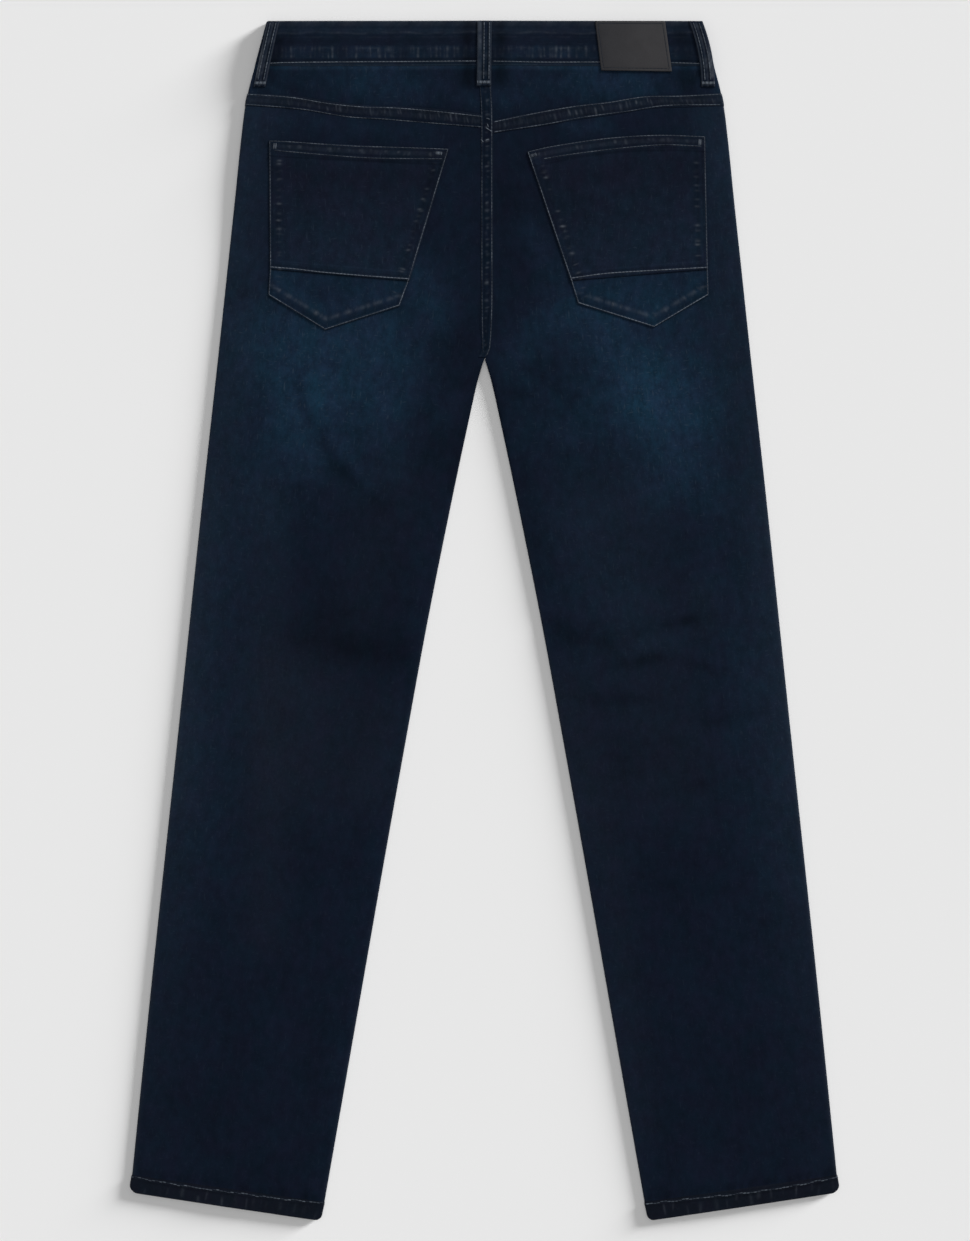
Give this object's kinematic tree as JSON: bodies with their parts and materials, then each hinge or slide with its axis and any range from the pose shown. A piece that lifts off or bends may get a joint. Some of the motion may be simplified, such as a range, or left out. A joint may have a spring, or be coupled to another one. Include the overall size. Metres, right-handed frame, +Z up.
{
  "type": "straight leg jeans, laid flat",
  "caption": "Men's straight leg denim jeans laid flat face down, with yokes, waistband, belt loops, pointed back pockets and a bare leather waist patch.",
  "frame": {"origin": "on the floor, at the middle of the laid-out jeans", "axes": "+X towards the wearer's right, +Y from the hems to the waist, +Z up from the floor"},
  "size_m": [0.6698, 1.13, 0.012],
  "materials": {
    "denim": "dark indigo twill denim, matt, with light worn seams",
    "denim_worn": "the same denim, slightly faded towards teal",
    "patch_leather": "dark grey-brown leather, fine grain, bare of any mark",
    "button_metal": "dull dark steel, plain face"
  },
  "bodies": {
    "root": {"front_panel_left": "denim", "front_panel_right": "denim", "pocket_facing_left": "denim", "pocket_facing_right": "denim", "fly_shield": "denim", "back_panel_left": "denim", "back_panel_right": "denim", "yoke_left": "denim", "yoke_right": "denim", "waistband": "denim", "back_pocket_left": "denim", "back_pocket_right": "denim", "back_pocket_foot_left": "denim_worn", "back_pocket_foot_right": "denim_worn", "belt_loop_back": "denim", "belt_loop_side_left": "denim", "belt_loop_side_right": "denim", "belt_loop_front_left": "denim", "belt_loop_front_right": "denim", "waist_patch": "patch_leather", "waist_button": "button_metal"}
  },
  "joints": []
}
